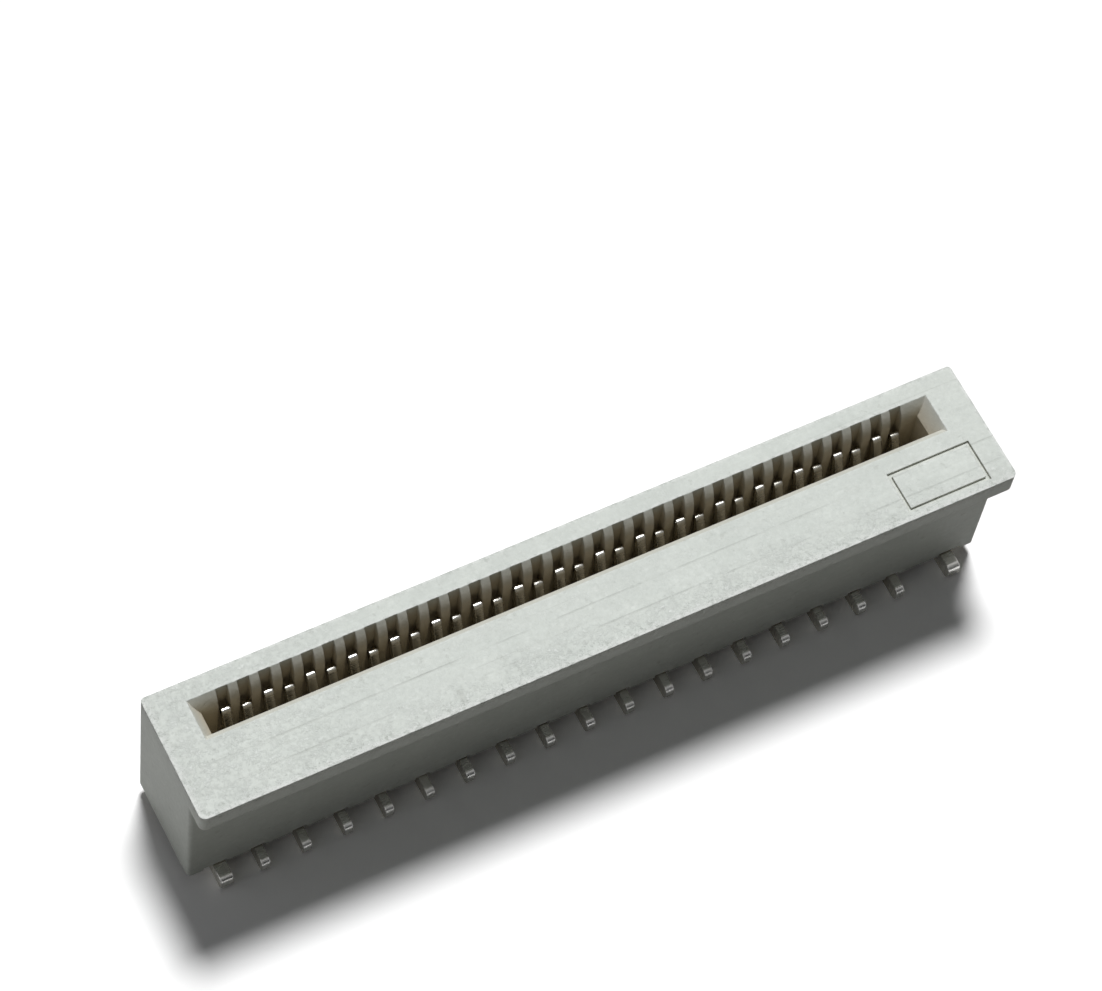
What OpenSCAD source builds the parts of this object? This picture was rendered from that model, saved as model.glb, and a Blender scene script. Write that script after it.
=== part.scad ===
// Vertical board connector for a flexible flat circuit, surface mounted.
// X runs along the row of contacts, Y from the flange side (front) to the back,
// Z up. The origin is the middle of the footprint, on the solder plane.

/* [Contact row] */
// Number of contacts in the row
pin_count = 34; // [10:1:50]
// Spacing of the contacts along the row
pitch = 0.5; // [0.48:0.01:1]

/* [Housing] */
// Depth of the housing body, front to back
body_depth = 2.55; // [2.45:0.05:3.2]
// Height of the housing, without the standoff below it
body_height = 4.05; // [3.8:0.05:5]
// Solid length between the end of the slot and the end of the housing
end_wall = 1.13; // [1.05:0.01:1.6]
// Height of the housing's underside above the board
standoff = 0.38; // [0.3:0.01:0.5]
// How far the top flange stands out over the front face
flange_overhang = 0.55; // [0.2:0.05:1]
// Thickness of the top flange
flange_thickness = 0.55; // [0.3:0.05:1]
// Radius of the upright corners of the body
body_corner = 0.1; // [0.05:0.01:0.2]
// Radius of the front corners of the flange
flange_corner = 0.16; // [0.05:0.01:0.2]

/* [Slot for the flexible circuit] */
// Room beside the outermost contact, up to the end of the slot
slot_margin = 0.55; // [0.4:0.01:0.8]
// Depth of the slot below the top face
slot_depth = 3.1; // [2.8:0.05:3.15]
// Clear gap between the front wall and the ribs
slot_gap = 0.65; // [0.5:0.01:0.7]
// Thickness of the back wall behind the cavities
back_wall = 0.45; // [0.3:0.01:0.6]
// How far the ribs stand out from the back wall
rib_depth = 0.22; // [0.1:0.01:0.3]
// Height of the rounded lead-in at the top of each rib
rib_lead = 0.62; // [0.4:0.01:0.8]
// Slope at the slot's ends: length along the row
end_lead = 0.26; // [0.1:0.01:0.35]
// Slope at the slot's ends: height
end_lead_height = 0.42; // [0.2:0.01:0.7]
// Chamfer along the slot's front edge: depth
front_lead = 0.14; // [0.05:0.01:0.2]
// Chamfer along the slot's front edge: height
front_lead_height = 0.12; // [0.05:0.01:0.3]

/* [Contacts] */
// Thickness of the sheet that the contacts are stamped from
contact_thickness = 0.2; // [0.15:0.01:0.22]
// Reach of a solder tail past the housing's side
tail_reach = 0.44; // [0.3:0.01:0.6]
// Height of a solder tail
tail_height = 0.43; // [0.41:0.01:0.5]
// Radius of the tail's toe
toe_radius = 0.14; // [0.08:0.01:0.18]
// Length of the slope between the tail and the base
tail_slope = 0.5; // [0.3:0.01:0.6]
// How far the soldered foot reaches in under the housing
foot_inset = 0.42; // [0.35:0.01:0.48]
// Height of the base's top above the board
base_top = 1.1; // [1:0.01:1.12]
// Reach of the base from the middle, towards its tail
base_shoulder = 0.8; // [0.75:0.01:0.85]
// Reach of the base from the middle, away from its tail
base_end = 0.79; // [0.74:0.01:0.82]
// Width of the leg at the base's far end
leg_width = 0.47; // [0.4:0.01:0.5]
// Width of the step inside the slope
step_width = 0.22; // [0.15:0.01:0.24]
// How far the leg and the step stand out below the housing
leg_drop = 0.09; // [0.05:0.01:0.15]
// Height of the open arch under the base
arch_top = 0.83; // [0.6:0.01:0.88]
// Width of the post that is pressed into the front wall
post_width = 0.42; // [0.3:0.01:0.45]
// Height of the post above the board
post_top = 2.6; // [2:0.05:3]
// Height of the barbs on a post or a prong
barb_height = 0.16; // [0.1:0.01:0.2]
// Wall between the post and the room for the spring arm
post_wall = 0.16; // [0.12:0.01:0.18]
// Width of the spring arm at its root
arm_root = 0.28; // [0.2:0.01:0.32]
// Width of the spring arm below its nose
arm_tip = 0.17; // [0.12:0.01:0.2]
// Radius of the nose that touches the circuit
nose_radius = 0.08; // [0.06:0.005:0.1]
// How far the relaxed nose reaches past the front of the ribs
nose_reach = 0.05; // [0:0.01:0.12]
// Depth of the higher noses below the top face
nose_depth = 0.58; // [0.5:0.01:0.8]
// Extra depth of every second nose
nose_stagger = 0.19; // [0:0.01:0.3]

/* [Solder tabs] */
// Thickness of the sheet that the solder tabs are stamped from
tab_thickness = 0.3; // [0.2:0.01:0.35]
// Wall between a tab and the end of the slot
tab_setback = 0.23; // [0.2:0.01:0.28]
// Height of the tabs' prongs above the board
prong_top = 2.4; // [1.8:0.05:3]
// Width of each prong
prong_width = 0.4; // [0.3:0.01:0.45]

/* [Fits] */
// Clearance on each side of a contact in its cavity
cavity_clearance = 0.04; // [0.02:0.005:0.05]
// Clearance on each side of a contact in its pocket in the underside
pocket_clearance = 0.07; // [0.04:0.005:0.08]
// Clearance that a barb bridges, on each side of a post or a prong
press_clearance = 0.03; // [0.02:0.005:0.05]
// Clearance above the bases and tails
top_clearance = 0.05; // [0.03:0.01:0.08]
// Clearance past the far end of a base, in its rounded pocket
end_clearance = 0.06; // [0.05:0.005:0.08]
// Room past the shoulder of a base, in its pocket
shoulder_room = 0.18; // [0.1:0.01:0.2]
// Room beside a solder tab, on the outer side of its pocket
tab_room = 0.22; // [0.1:0.01:0.25]

/* [Marking] */
// Length of the engraved frame on the top face
mark_length = 2.1; // [1:0.05:3]
// Width of the engraved frame
mark_width = 1.05; // [0.6:0.05:1.2]
// Distance from the frame to the end of the housing
mark_end_margin = 0.58; // [0.4:0.01:1]
// Distance from the frame to the flange's front edge
mark_front_margin = 0.19; // [0.15:0.01:0.25]
// Width of the engraved groove
mark_groove = 0.09; // [0.05:0.01:0.15]
// Depth of the engraved groove
mark_depth = 0.06; // [0.03:0.01:0.1]

/* [Hidden] */
$fn = 48;
// A cut starts this far outside the face that it opens
cut = 1;

row_half = (pin_count - 1) * pitch / 2;
slot_half = row_half + slot_margin;
body_half = slot_half + end_wall;
side = body_depth / 2;
bottom = standoff;
top = standoff + body_height;

// Across the housing, measured from the middle of its body
slot_back = side - back_wall;
rib_front = slot_back - rib_depth;
slot_front = rib_front - slot_gap;
slot_floor = top - slot_depth;
tail_tip = side + tail_reach;
// The footprint's middle, between the flange's edge and the back tails' tips
frame_shift = (side + flange_overhang - tail_tip) / 2;

cavity_width = contact_thickness + 2 * cavity_clearance;
pocket_width = contact_thickness + 2 * pocket_clearance;
pocket_top = base_top + top_clearance;
notch_top = tail_height + top_clearance;

// The base of a contact, measured from the middle towards its tail
leg_bottom = bottom - leg_drop;
tail_start = side - foot_inset;
step_start = tail_start - tail_slope;
pocket_end = base_end + end_clearance;
pocket_shoulder = base_shoulder + shoulder_room;

// The post lies over the far end of the base, in the front wall
post_front = -base_end;
post_back = post_front + post_width;
arm_room = post_back + post_wall;
arm_room_top = top - slot_depth / 3;

// The solder tabs stand just outside the slot's ends, with a prong over each shoulder
tab_x = slot_half + tab_setback + tab_thickness / 2;
prong_middle = base_shoulder - prong_width / 2;

function contact_x(i) = i * pitch - row_half;
// Even contacts have their tails in front, odd ones at the back
function tail_side(i) = i % 2 == 0 ? -1 : 1;
function contact_name(i) = str("contact_", i < 9 ? "0" : "", i + 1);

// Points on an arc, from one angle to another
function arc(centre, radius, from, to, steps = 5) = [
    for (k = [0 : steps])
        centre + radius * [cos(from + (to - from) * k / steps), sin(from + (to - from) * k / steps)]
];

// Puts a shape drawn across the housing (y, z) into place and gives it a thickness along X
module across(thickness) {
    rotate([90, 0, 90]) linear_extrude(height = thickness, center = true) children();
}

// Mirrors a shape drawn towards the positive side when its side is the negative one
module facing(side_sign, axis = [1, 0, 0]) {
    if (side_sign < 0) mirror(axis) children();
    else children();
}

// Rectangle between two corners
module panel(from, to) {
    translate(from) square(to - from);
}

// Rectangle with round corners, all of one radius
module rounded_panel(from, to, radius) {
    panel(from + [radius, 0], to - [radius, 0]);
    panel(from + [0, radius], to - [0, radius]);
    for (x = [from.x + radius, to.x - radius])
        for (y = [from.y + radius, to.y - radius])
            translate([x, y]) circle(radius);
}

// ---- housing ----

module housing_block() {
    translate([0, 0, bottom])
        linear_extrude(height = body_height)
            rounded_panel([-body_half, -side], [body_half, side], body_corner);
    translate([0, 0, top - flange_thickness])
        linear_extrude(height = flange_thickness) {
            rounded_panel([-body_half, -side - flange_overhang], [body_half, 0], flange_corner);
            rounded_panel([-body_half, -side / 2], [body_half, side], body_corner);
        }
}

// Section of the slot across the housing: the ribs' round lead-in is left standing
module slot_section() {
    lead_radius = (pow(rib_lead, 2) + pow(rib_depth, 2)) / (2 * rib_depth);
    difference() {
        panel([slot_front, slot_floor], [slot_back, top + cut]);
        translate([rib_front + lead_radius, top - rib_lead]) circle(lead_radius, $fn = 96);
        panel([rib_front, slot_floor - cut], [slot_back + cut, top - rib_lead]);
    }
    polygon([
        [slot_front, top - front_lead_height],
        [slot_front + slot_gap / 2, top - front_lead_height],
        [slot_front + slot_gap / 2, top + cut],
        [slot_front - front_lead, top + cut],
        [slot_front - front_lead, top]
    ]);
}

// Section of the slot along the row, with the sloped ends
module slot_length_section() {
    polygon([
        [-slot_half, slot_floor - cut],
        [slot_half, slot_floor - cut],
        [slot_half, top - end_lead_height],
        [slot_half + end_lead, top],
        [slot_half + end_lead, top + cut],
        [-slot_half - end_lead, top + cut],
        [-slot_half - end_lead, top],
        [-slot_half, top - end_lead_height]
    ]);
}

module circuit_slot() {
    intersection() {
        across(2 * body_half) slot_section();
        rotate([90, 0, 0])
            linear_extrude(height = body_depth, center = true) slot_length_section();
    }
}

// Room for one contact: pocket and notch below, slot for the post, chamber for the arm
module contact_cavity(side_sign) {
    translate([0, 0, bottom - cut])
        linear_extrude(height = pocket_top - bottom + cut)
            facing(side_sign, [0, 1, 0]) {
                panel([-pocket_width / 2, pocket_width / 2 - pocket_end], [pocket_width / 2, pocket_shoulder]);
                translate([0, pocket_width / 2 - pocket_end]) circle(pocket_width / 2);
            }
    translate([0, 0, bottom - cut])
        linear_extrude(height = notch_top - bottom + cut)
            facing(side_sign, [0, 1, 0])
                panel([-pocket_width / 2, 0], [pocket_width / 2, side + cut]);
    across(cavity_width) {
        panel([post_front, base_top], [post_back, post_top + press_clearance]);
        polygon([
            [arm_room, base_top],
            [slot_back, base_top],
            [slot_back, top + cut],
            [rib_front - slot_gap / 2, top + cut],
            [rib_front - slot_gap / 2, arm_room_top + slot_gap / 2],
            [arm_room, arm_room_top]
        ]);
    }
}

// Room for one solder tab, drawn for the right-hand one
module tab_cavity() {
    inner = tab_x - tab_thickness / 2 - press_clearance;
    outer = tab_x + tab_thickness / 2 + tab_room;
    translate([0, 0, bottom - cut])
        linear_extrude(height = pocket_top - bottom + cut)
            panel([inner, -pocket_shoulder], [outer, pocket_shoulder]);
    translate([0, 0, bottom - cut])
        linear_extrude(height = notch_top - bottom + cut)
            panel([inner, -side - cut], [outer, side + cut]);
    translate([tab_x, 0, 0])
        across(tab_thickness + 2 * press_clearance)
            for (middle = [-prong_middle, prong_middle])
                panel(
                    [middle - prong_width / 2, base_top],
                    [middle + prong_width / 2, prong_top + press_clearance]
                );
}

module engraved_frame() {
    right = body_half - mark_end_margin;
    front = -side - flange_overhang + mark_front_margin;
    translate([0, 0, top - mark_depth])
        linear_extrude(height = mark_depth + cut)
            difference() {
                panel([right - mark_length, front], [right, front + mark_width]);
                panel(
                    [right - mark_length + mark_groove, front + mark_groove],
                    [right - mark_groove, front + mark_width - mark_groove]
                );
            }
}

module housing() {
    color([0.84, 0.86, 0.82])
        translate([0, frame_shift, 0])
            difference() {
                housing_block();
                circuit_slot();
                for (i = [0 : pin_count - 1])
                    translate([contact_x(i), 0, 0]) contact_cavity(tail_side(i));
                tab_cavity();
                mirror([1, 0, 0]) tab_cavity();
                engraved_frame();
            }
}

// ---- contacts ----

// Half of the base with the tail, the slope and the step, drawn towards the tail's side
module tail_outline() {
    toe = tail_tip - toe_radius;
    polygon(concat(
        [[0, base_top], [0, arch_top], [step_start - step_width, arch_top]],
        [[step_start - step_width, leg_bottom], [step_start, leg_bottom], [tail_start, 0]],
        arc([toe, toe_radius], toe_radius, -90, 0),
        arc([toe, tail_height - toe_radius], toe_radius, 0, 90),
        [[base_shoulder + top_clearance, tail_height], [base_shoulder, tail_height + top_clearance]],
        [[base_shoulder, base_top]]
    ));
}

// The other half of the base, with the leg that stands in the pocket's far end
module far_leg_outline() {
    polygon([
        [0, base_top],
        [-base_end, base_top],
        [-base_end, leg_bottom],
        [leg_width - base_end, leg_bottom],
        [leg_width - base_end, arch_top],
        [0, arch_top]
    ]);
}

// Post or prong with a chamfered tip and two pairs of barbs, standing on the base
module barbed_post(middle, width, height) {
    barb = width / 2;
    half = barb - press_clearance;
    chamfer = width / 4;
    barb_room = height - chamfer - base_top;
    translate([middle, 0]) {
        polygon([
            [-half, arch_top],
            [half, arch_top],
            [half, height - chamfer],
            [half - chamfer, height],
            [chamfer - half, height],
            [-half, height - chamfer]
        ]);
        for (z = [base_top + barb_room / 3, base_top + barb_room * 2 / 3])
            polygon([[-half, z + barb_height], [-barb, z], [barb, z], [half, z + barb_height]]);
    }
}

// Spring arm: a tapered strip that curves from the base up to the nose
module arm_outline(nose) {
    steps = 10;
    root = [0, arch_top];
    // The arm stands nearly upright in its lower half and leans over above it
    bend = [nose.x / 12, (root.y + nose.y) / 2];
    function centre(t) = pow(1 - t, 2) * root + 2 * t * (1 - t) * bend + t * t * nose;
    function heading(t) = (1 - t) * (bend - root) + t * (nose - bend);
    function edge(t, side_sign) = centre(t)
        + side_sign * (arm_root * (1 - t) + arm_tip * t) / 2
        * [heading(t).y, -heading(t).x] / norm(heading(t));
    polygon(concat(
        [for (k = [0 : steps]) edge(k / steps, 1)],
        [for (k = [steps : -1 : 0]) edge(k / steps, -1)]
    ));
    translate(nose) circle(nose_radius);
}

module contact(i) {
    side_sign = tail_side(i);
    nose = [
        rib_front + nose_reach - nose_radius,
        top - nose_depth - nose_radius - (side_sign > 0 ? nose_stagger : 0)
    ];
    color([0.8, 0.8, 0.77])
        translate([contact_x(i), frame_shift, 0])
            across(contact_thickness) {
                facing(side_sign) {
                    tail_outline();
                    far_leg_outline();
                }
                barbed_post((post_front + post_back) / 2, post_width, post_top);
                arm_outline(nose);
            }
}

// ---- solder tabs ----

module solder_tab(end_sign) {
    color([0.82, 0.82, 0.79])
        translate([end_sign * tab_x, frame_shift, 0])
            across(tab_thickness)
                for (side_sign = [-1, 1])
                    facing(side_sign) {
                        tail_outline();
                        barbed_post(prong_middle, prong_width, prong_top);
                    }
}

housing();
solder_tab(-1);  // solder_tab_left
solder_tab(1);  // solder_tab_right
for (i = [0 : pin_count - 1])
    contact(i);
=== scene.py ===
"""Looks for the vertical connector: moulded plastic housing, tinned contacts and solder tabs.

The frame is the solids': X along the row, Y to the back, Z up. Blender's own lengths are in metres.
Inside the materials, places and distances are in millimetres.
"""
import math

import bpy
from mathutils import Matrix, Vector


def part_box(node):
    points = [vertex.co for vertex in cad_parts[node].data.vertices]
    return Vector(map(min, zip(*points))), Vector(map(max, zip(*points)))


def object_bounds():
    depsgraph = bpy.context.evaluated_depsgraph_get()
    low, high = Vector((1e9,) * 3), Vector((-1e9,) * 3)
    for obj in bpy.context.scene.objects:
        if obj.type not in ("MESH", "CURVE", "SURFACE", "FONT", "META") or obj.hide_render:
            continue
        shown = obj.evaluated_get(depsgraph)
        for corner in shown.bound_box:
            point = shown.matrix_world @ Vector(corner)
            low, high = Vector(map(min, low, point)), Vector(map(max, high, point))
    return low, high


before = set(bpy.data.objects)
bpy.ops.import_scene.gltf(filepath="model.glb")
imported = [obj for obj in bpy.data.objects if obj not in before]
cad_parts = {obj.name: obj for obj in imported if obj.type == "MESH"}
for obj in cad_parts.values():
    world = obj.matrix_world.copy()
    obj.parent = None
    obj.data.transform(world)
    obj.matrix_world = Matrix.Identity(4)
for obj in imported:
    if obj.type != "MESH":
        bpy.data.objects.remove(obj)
CAD_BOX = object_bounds()

MM = 0.001
HOUSING = "housing"
TABS = ["solder_tab_left", "solder_tab_right"]
CONTACTS = sorted(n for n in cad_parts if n.startswith("contact_"))


def colour(red, green, blue):
    return (red, green, blue, 1.0)


# ---- places on the housing, in millimetres ----

LEFT_END, FRONT_EDGE, _ = (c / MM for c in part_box(HOUSING)[0])
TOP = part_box(HOUSING)[1][2] / MM

# The slot's middle, ribs and cavities included, between front and back
SLOT_MIDDLE = 0.42
# Between these the slot's painted warm shade sets in or fades out: away from the slot's middle,
# in from the housing's ends, and down from its top (at the mouth, further in and at the floor)
SLOT_SIDE = (0.52, 0.60)
SLOT_END = (0.70, 0.86)
SLOT_MOUTH = (0.005, 0.015)
SLOT_INSIDE = (0.02, 0.45)
SLOT_FLOOR = (3.2, 3.3)

# Half a flow line's width, full and faded out, and where the lines lie, front to back
FLOW_WIDTH = (0.01, 0.035)
FLOW_LINES = (-1.22, -0.66)
# The mould's tick: its middle, and half its width and half its length, full and faded out
TICK_PLACE = (-3.72, -1.48)
TICK_WIDTH = (0.04, 0.08)
TICK_LENGTH = (0.16, 0.22)

# The chalky rim of the top: how wide it is, fully worn and at most, and how far it wanders
RIM_WIDTH = (0.07, 0.19)
RIM_RAGGED = 0.9
# How far from the left end and from the front edge the top was handled, fully and at most,
# how far that wanders, and how much the rest of the top was handled
HANDLED_LEFT = (0.3, 5.5)
HANDLED_FRONT = (0.15, 0.75)
HANDLED_RAGGED = 1.6
HANDLED_LEAST = 0.3

# ---- shading ----

BEVEL_SAMPLES = 6
CREVICE_SAMPLES = 8
# How near the walls of a crevice stand for its painted shade, in metres
CREVICE_REACH = 1.0 * MM
# The cosine between a face's normal and the rounded one, where it lies flat and on a sharp edge
EDGE_LEAN = (0.995, 0.8)
# The upward part of the normal, on a slope and on the top
FACING_UP = (0.7, 0.9)
# The sideways part of the normal, on a sheared edge of the sheet and on its face
FACING_SIDEWAYS = (0.5, 0.8)

PLASTIC_DARK = colour(0.625, 0.665, 0.625)
PLASTIC_LIGHT = colour(0.695, 0.735, 0.69)
PLASTIC_STREAK = colour(0.63, 0.66, 0.62)
PLASTIC_GRAIN = colour(0.56, 0.59, 0.55)
PLASTIC_SPECK = colour(0.77, 0.80, 0.76)
PLASTIC_SCRATCH = colour(0.46, 0.48, 0.44)
PLASTIC_PIT = colour(0.43, 0.45, 0.41)
PLASTIC_FLOW = colour(0.42, 0.44, 0.40)
PLASTIC_TICK = colour(0.45, 0.47, 0.43)
PLASTIC_SCUFF = colour(0.83, 0.86, 0.83)
PLASTIC_DENT = colour(0.46, 0.48, 0.45)
PLASTIC_WORN = colour(0.88, 0.90, 0.87)
PLASTIC_CHIP = colour(0.44, 0.46, 0.42)
# Painted warm shade inside the slot
PLASTIC_SLOT_SHADE = colour(0.60, 0.535, 0.415)
# Painted shade in the plastic's deep corners
PLASTIC_CREVICE_SHADE = colour(0.40, 0.335, 0.21)

CONTACT_BRIGHT, CONTACT_DULL = colour(0.84, 0.84, 0.82), colour(0.66, 0.66, 0.63)
TAB_BRIGHT, TAB_DULL = colour(0.86, 0.86, 0.83), colour(0.70, 0.69, 0.65)
# How many patches of tarnish there are to a millimetre
CONTACT_PATCHES, TAB_PATCHES = 0.9, 0.6
TIN_TARNISH = colour(0.52, 0.50, 0.45)
TIN_WORN = colour(0.93, 0.93, 0.91)
# Painted shade in the metal's deep corners
TIN_CREVICE_SHADE = colour(0.36, 0.33, 0.25)

# ---- studio ----

FLOOR_HALF = 0.4
FLOOR_MOTTLE = 0.05
# The camera sees the floor a little paler than white, so that it stays white away from shadows
FLOOR_SEEN = (colour(1.14, 1.14, 1.14), colour(1.18, 1.18, 1.18))
FLOOR_LIFT = 0.005
FLOOR_BOUNCE = colour(0.23, 0.22, 0.20)

WHITE = colour(1.0, 1.0, 1.0)
SKYLIGHT = colour(0.97, 0.98, 1.0)
# The world's strength in front and at the back, and what the left side adds:
# as light, as it is mirrored in gloss, and as the camera sees it
WORLD_LIGHT = (0.015, 0.08, 0.30)
WORLD_MIRRORED = (0.05, 1.0, 0.15)
WORLD_SEEN = (1.0, 1.0, 0.0)
# Where the world turns from its front to its back, along Y, and where its left side is, along X
FRONT_TO_BACK = (-0.8, 0.6)
LEFT_SIDE = (-1.0, -0.3)

# The direction that the sun's light comes from, its spread in degrees, and its strength
SUN_FROM = (0.19, 0.34, 1.0)
SUN_SPREAD = 14.0
SUN_STRENGTH = 2.9

# The camera's place in millimetres, its rotation in degrees, its lens and sensor in millimetres
CAMERA_PLACE = (-26.117, -33.397, 83.632)
CAMERA_TURN = (28.7345, -5.1899, -27.2361)
CAMERA_LENS, CAMERA_SENSOR = 135.83, 36.0
# How near and how far the camera sees, in metres
CAMERA_REACH = (0.005, 2.0)


# ---- shader helpers ----

class Shader:
    """A material or world under construction: makes nodes, and links or sets their inputs."""

    def __init__(self, owner, output="OutputMaterial"):
        owner.use_nodes = True
        self.owner = owner
        self.tree = owner.node_tree
        self.tree.nodes.clear()
        self.output = self.node(output)

    def node(self, kind, inputs=None, **settings):
        made = self.tree.nodes.new("ShaderNode" + kind)
        for key, value in settings.items():
            setattr(made, key, value)
        for key, value in (inputs or {}).items():
            self.plug(made.inputs[key], value)
        return made

    def plug(self, socket, value):
        if isinstance(value, bpy.types.NodeSocket):
            self.tree.links.new(value, socket)
        else:
            socket.default_value = value

    def math(self, operation, first, second=0.0):
        return self.node("Math", {0: first, 1: second}, operation=operation).outputs[0]

    def product(self, first, *others):
        for other in others:
            first = self.math("MULTIPLY", first, other)
        return first

    def total(self, first, *others):
        for other in others:
            first = self.math("ADD", first, other)
        return first

    def span(self, value, low, high, out_low=0.0, out_high=1.0):
        """Maps low..high to out_low..out_high, clamped."""
        made = self.node("MapRange", {0: value, 1: low, 2: high, 3: out_low, 4: out_high})
        return made.outputs[0]

    def band(self, value, middle, inner, outer):
        """1 within inner of the middle, falling to 0 at outer."""
        away = self.math("ABSOLUTE", self.math("SUBTRACT", value, middle))
        return self.span(away, inner, outer, 1.0, 0.0)

    def ragged(self, value, noise, size):
        """The value, moved up or down by the noise, by half the size at most."""
        return self.total(value, self.product(self.math("SUBTRACT", noise, 0.5), size))

    def mix(self, factor, first, second):
        return self.node("Mix", {0: factor, 6: first, 7: second}, data_type="RGBA").outputs[2]

    def place(self, scale=(1.0, 1.0, 1.0)):
        """Object coordinates in millimetres, stretched by scale."""
        coordinates = self.node("TexCoord").outputs["Object"]
        per_mm = tuple(s / MM for s in scale)
        return self.node("Mapping", {"Vector": coordinates, "Scale": per_mm}).outputs[0]

    def noise(self, where, scale, detail=3.0, roughness=0.55):
        inputs = {"Vector": where, "Scale": scale, "Detail": detail, "Roughness": roughness}
        return self.node("TexNoise", inputs).outputs[0]

    def split(self, vector):
        return self.node("SeparateXYZ", {0: vector}).outputs

    def normal(self):
        """The X, Y and Z parts of the surface's normal."""
        return self.split(self.node("NewGeometry").outputs["Normal"])

    def edge_mask(self, radius):
        """Near 1 on sharp edges and 0 on flat faces, out to about the radius."""
        rounded = self.node("Bevel", {"Radius": radius}, samples=BEVEL_SAMPLES).outputs[0]
        flat = self.node("NewGeometry").outputs["True Normal"]
        lean = self.node("VectorMath", {0: rounded, 1: flat}, operation="DOT_PRODUCT")
        return self.span(lean.outputs["Value"], *EDGE_LEAN)

    def crevice_shade(self, closed, free, most):
        """Painted shade from ambient occlusion: the given most in closed corners, falling to 0
        where a surface lies free.
        """
        seen = self.node("AmbientOcclusion", {"Distance": CREVICE_REACH}, samples=CREVICE_SAMPLES)
        return self.span(seen.outputs["AO"], closed, free, most, 0.0)

    def surface(self, rounding, strength, height, relief, **inputs):
        """Closes the material with rounded edges and a relief, and gives it back."""
        soft = self.node("Bevel", {"Radius": rounding}, samples=BEVEL_SAMPLES).outputs[0]
        bump = self.node("Bump", {"Strength": strength, "Distance": height,
                                  "Height": relief, "Normal": soft})
        inputs = {key.replace("_", " "): value for key, value in inputs.items()}
        inputs["Normal"] = bump.outputs[0]
        self.plug(self.output.inputs[0], self.node("BsdfPrincipled", inputs).outputs[0])
        return self.owner


# ---- materials of the part ----

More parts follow.
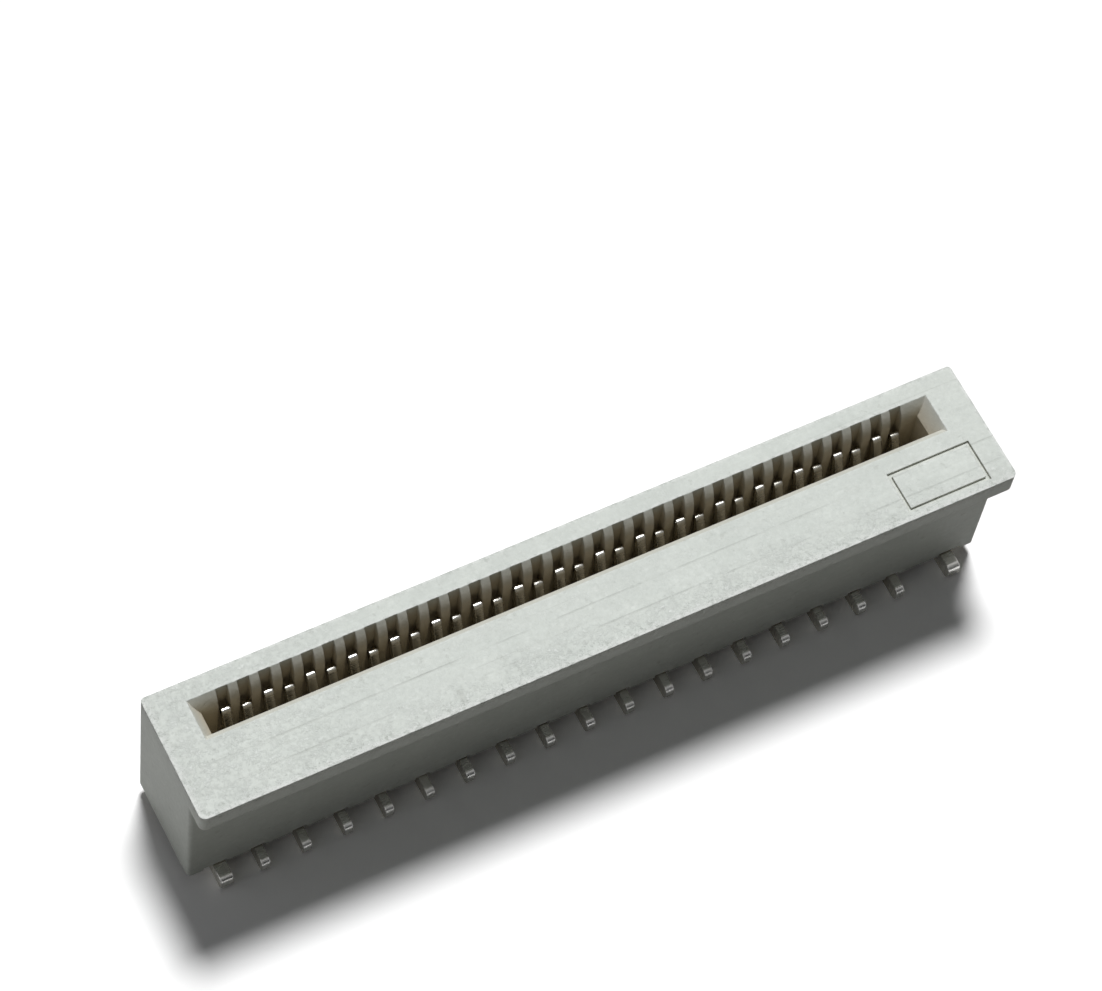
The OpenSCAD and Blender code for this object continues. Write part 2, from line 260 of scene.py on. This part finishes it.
def housing_plastic():
    """Moulded plastic, chalky where its edges are scuffed, with painted shade in its slot and deep
    corners.
    """
    s = Shader(bpy.data.materials.new("housing_plastic"))
    flat = s.place()
    x, y, z = s.split(flat)
    depth = s.math("SUBTRACT", TOP, z)
    to_front = s.math("SUBTRACT", y, FRONT_EDGE)
    to_left = s.math("SUBTRACT", x, LEFT_END)
    on_top = s.span(s.normal()[2], *FACING_UP)

    grain = s.noise(flat, scale=9.0, detail=5.0, roughness=0.7)
    mottle = s.noise(flat, scale=1.0, detail=4.0, roughness=0.6)
    streaks = s.noise(s.place((0.12, 5.0, 5.0)), scale=1.6, detail=4.0, roughness=0.6)
    scratches = s.span(s.noise(s.place((0.2, 9.0, 9.0)), scale=1.3), 0.64, 0.74)
    pits = s.span(s.noise(flat, scale=4.6, roughness=0.6), 0.64, 0.72)
    specks = s.noise(s.place((0.8, 1.0, 1.0)), scale=7.0, detail=4.0, roughness=0.75)
    specks = s.span(specks, 0.55, 0.68)

    # Sharp edges and the rim of the top are worn, chalky in some places and chipped in others
    crumbs = s.noise(flat, scale=6.5, detail=5.0, roughness=0.8)
    rim = s.total(s.math("MINIMUM", to_front, to_left), depth)
    rim = s.span(s.ragged(rim, crumbs, RIM_RAGGED), *RIM_WIDTH, 1.0, 0.0)
    edges = s.math("MAXIMUM", s.edge_mask(0.19 * MM), rim)
    wear = s.product(edges, s.span(crumbs, 0.42, 0.52))
    chips = s.product(edges, s.span(crumbs, 0.34, 0.42, 1.0, 0.0))

    # The top is scuffed where it was handled: most at the left end and along the front edge
    from_left = s.ragged(to_left, mottle, HANDLED_RAGGED)
    from_front = s.ragged(to_front, mottle, HANDLED_RAGGED)
    handled = s.math("MAXIMUM", s.span(from_left, *HANDLED_LEFT, 1.0, HANDLED_LEAST),
                     s.span(from_front, *HANDLED_FRONT, 1.0, HANDLED_LEAST))
    handled = s.product(handled, on_top)
    scuffs = s.noise(flat, scale=6.0, detail=6.0, roughness=0.8)
    scuffs = s.product(s.span(scuffs, 0.50, 0.62), handled)
    dents = s.noise(flat, scale=7.5, detail=4.0, roughness=0.7)
    dents = s.product(s.span(dents, 0.33, 0.42, 1.0, 0.0), handled)

    # Two faint flow lines run the length of the flange, broken here and there
    broken = s.span(s.noise(s.place((0.5, 1.0, 1.0)), scale=1.5, detail=2.0), 0.42, 0.6)
    lines = [s.band(y, middle, *FLOW_WIDTH) for middle in FLOW_LINES]
    flow = s.product(s.math("MAXIMUM", *lines), broken, on_top)
    # The mould left one small tick at the flange's front edge
    tick = s.product(s.band(x, TICK_PLACE[0], *TICK_WIDTH),
                     s.band(y, TICK_PLACE[1], *TICK_LENGTH), on_top)

    # Painted warm shade inside the slot, fading in at its mouth and out at its floor
    in_depth = s.math("MINIMUM", s.span(depth, *SLOT_INSIDE, 0.3, 1.0),
                      s.span(depth, *SLOT_FLOOR, 1.0, 0.0))
    from_end = s.math("SUBTRACT", -LEFT_END, s.math("ABSOLUTE", x))
    slot_shade = s.product(s.band(y, SLOT_MIDDLE, *SLOT_SIDE), in_depth, s.span(from_end, *SLOT_END),
                        s.span(depth, *SLOT_MOUTH))

    base = s.mix(s.span(mottle, 0.35, 0.65), PLASTIC_DARK, PLASTIC_LIGHT)
    base = s.mix(s.span(streaks, 0.35, 0.65, 0.0, 0.5), base, PLASTIC_STREAK)
    base = s.mix(s.span(grain, 0.35, 0.7, 0.0, 0.4), base, PLASTIC_GRAIN)
    # Each kind of mark, and last the painted warm shade in the slot, lies over the one before it
    marks_and_slot_shade = ((specks, 0.4, PLASTIC_SPECK), (scratches, 0.25, PLASTIC_SCRATCH),
             (pits, 0.35, PLASTIC_PIT), (flow, 0.3, PLASTIC_FLOW), (tick, 0.35, PLASTIC_TICK),
             (scuffs, 0.6, PLASTIC_SCUFF), (dents, 0.4, PLASTIC_DENT),
             (wear, 0.8, PLASTIC_WORN), (chips, 0.4, PLASTIC_CHIP), (slot_shade, 0.9, PLASTIC_SLOT_SHADE))
    for mask, opacity, tint in marks_and_slot_shade:
        base = s.mix(s.product(mask, opacity), base, tint)
    # Painted shade: every deep corner is darker
    base = s.mix(s.crevice_shade(closed=0.05, free=0.6, most=0.6), base, PLASTIC_CREVICE_SHADE)

    rough = s.total(s.span(grain, 0.3, 0.7, 0.48, 0.62), s.product(wear, 0.2))
    # What each kind of mark adds to the relief
    steps = ((scratches, -0.3), (pits, -0.4), (s.total(scuffs, wear), 0.9),
             (s.total(dents, chips, tick, flow), -0.7))
    relief = s.total(grain, *(s.product(mask, height) for mask, height in steps))
    return s.surface(0.035 * MM, 0.5, 0.02 * MM, relief, Base_Color=base, Roughness=rough,
                     IOR=1.5, Specular_IOR_Level=0.3)


def tinned_metal(name, bright, dull, patches):
    """Stamped sheet with bright tin plating, and painted shade in its deep corners."""
    s = Shader(bpy.data.materials.new(name))
    flat = s.place()
    clouds = s.noise(flat, scale=2.6, detail=4.0)
    fine = s.noise(flat, scale=16.0, roughness=0.6)
    tarnish = s.span(s.noise(flat, scale=patches, detail=5.0, roughness=0.7), 0.5, 0.72)
    # Sheared edges carry fine lines across the sheet, and its faces lines along the strip
    sheared = s.noise(s.place((1.5, 14.0, 14.0)), scale=1.5)
    rolled = s.noise(s.place((10.0, 10.0, 0.8)), scale=1.5)
    on_face = s.span(s.math("ABSOLUTE", s.normal()[0]), *FACING_SIDEWAYS)
    lines = s.mix(on_face, sheared, rolled)

    base = s.mix(s.span(clouds, 0.3, 0.7), dull, bright)
    base = s.mix(s.product(tarnish, 0.35), base, TIN_TARNISH)
    base = s.mix(s.product(s.edge_mask(0.04 * MM), 0.4), base, TIN_WORN)
    # Painted shade: the metal's deep corners are darker
    base = s.mix(s.crevice_shade(closed=0.1, free=0.75, most=0.9), base, TIN_CREVICE_SHADE)

    rough = s.total(s.span(lines, 0.3, 0.7, 0.22, 0.32), s.product(tarnish, 0.15))
    relief = s.total(s.product(fine, 0.5), lines)
    return s.surface(0.04 * MM, 0.1, 0.002 * MM, relief, Base_Color=base, Roughness=rough,
                     Metallic=1.0)


# ---- floor, world, sun and camera ----

def floor_material():
    """White to the camera apart from shadows, and darker as a source of bounced light."""
    s = Shader(bpy.data.materials.new("floor_pale"))
    soft = s.noise(s.place((FLOOR_MOTTLE, FLOOR_MOTTLE, FLOOR_MOTTLE)), scale=1.0)
    seen = s.node("BsdfDiffuse", {"Color": s.mix(soft, *FLOOR_SEEN)})
    lift = s.node("Emission", {"Color": WHITE, "Strength": FLOOR_LIFT})
    to_camera = s.node("AddShader", {0: seen.outputs[0], 1: lift.outputs[0]})
    bounce = s.node("BsdfDiffuse", {"Color": FLOOR_BOUNCE})
    rays = s.node("LightPath").outputs
    direct = s.math("MAXIMUM", rays["Is Camera Ray"], rays["Is Glossy Ray"])
    both = s.node("MixShader", {0: direct, 1: bounce.outputs[0], 2: to_camera.outputs[0]})
    # Seen from below the floor is clear, so that the part's underside can be looked at
    below = s.node("NewGeometry").outputs["Backfacing"]
    clear = s.node("BsdfTransparent")
    one_sided = s.node("MixShader", {0: below, 1: both.outputs[0], 2: clear.outputs[0]})
    s.plug(s.output.inputs[0], one_sided.outputs[0])
    return s.owner


def make_floor():
    mesh = bpy.data.meshes.new("floor")
    level = CAD_BOX[0][2]
    corners = [(-1, -1), (1, -1), (1, 1), (-1, 1)]
    mesh.from_pydata([(x * FLOOR_HALF, y * FLOOR_HALF, level) for x, y in corners], [],
                     [(0, 1, 2, 3)])
    floor = bpy.data.objects.new("floor", mesh)
    bpy.context.scene.collection.objects.link(floor)
    mesh.materials.append(floor_material())


def make_world():
    """White to the camera; the light it gives is soft, and dimmer from the front."""
    world = bpy.data.worlds.new("studio")
    bpy.context.scene.world = world
    s = Shader(world, "OutputWorld")
    rays = s.node("LightPath").outputs
    towards = s.split(s.node("TexCoord").outputs["Generated"])

    def backdrop(front, back, left, tint):
        """Light that grows from front to back of the studio, with more from the left."""
        along = s.span(towards[1], *FRONT_TO_BACK, front, back)
        beside = s.span(towards[0], *LEFT_SIDE, left, 0.0)
        return s.node("Background", {0: tint, 1: s.total(along, beside)}).outputs[0]

    def choose(ray, otherwise, chosen):
        return s.node("MixShader", {0: rays[ray], 1: otherwise, 2: chosen}).outputs[0]

    lit = backdrop(*WORLD_LIGHT, SKYLIGHT)
    lit = choose("Is Glossy Ray", lit, backdrop(*WORLD_MIRRORED, WHITE))
    s.plug(s.output.inputs[0], choose("Is Camera Ray", lit, backdrop(*WORLD_SEEN, WHITE)))


def make_sun():
    """One soft sun, so that the light is the same all over the floor."""
    lamp = bpy.data.lights.new("key", "SUN")
    lamp.angle = math.radians(SUN_SPREAD)
    lamp.energy = SUN_STRENGTH
    made = bpy.data.objects.new("key", lamp)
    bpy.context.scene.collection.objects.link(made)
    x, y, z = SUN_FROM
    made.rotation_euler = (math.atan2(math.hypot(x, y), z), 0.0, math.atan2(-y, -x) - math.pi / 2)


def make_camera():
    camera = bpy.data.cameras.new("camera")
    camera.sensor_width = CAMERA_SENSOR
    camera.lens = CAMERA_LENS
    camera.clip_start, camera.clip_end = CAMERA_REACH
    made = bpy.data.objects.new("camera", camera)
    bpy.context.scene.collection.objects.link(made)
    made.location = [c * MM for c in CAMERA_PLACE]
    made.rotation_euler = [math.radians(a) for a in CAMERA_TURN]
    bpy.context.scene.camera = made


make_camera()
make_world()
make_floor()
make_sun()

materials = {HOUSING: housing_plastic()}
contact_metal = tinned_metal("contact_metal", CONTACT_BRIGHT, CONTACT_DULL, CONTACT_PATCHES)
tab_metal = tinned_metal("tab_metal", TAB_BRIGHT, TAB_DULL, TAB_PATCHES)
for name in CONTACTS:
    materials[name] = contact_metal
for name in TABS:
    materials[name] = tab_metal
for name, material in materials.items():
    mesh = bpy.data.objects[name].data
    mesh.materials.clear()
    mesh.materials.append(material)

scene = bpy.context.scene
scene.view_settings.view_transform = "Standard"
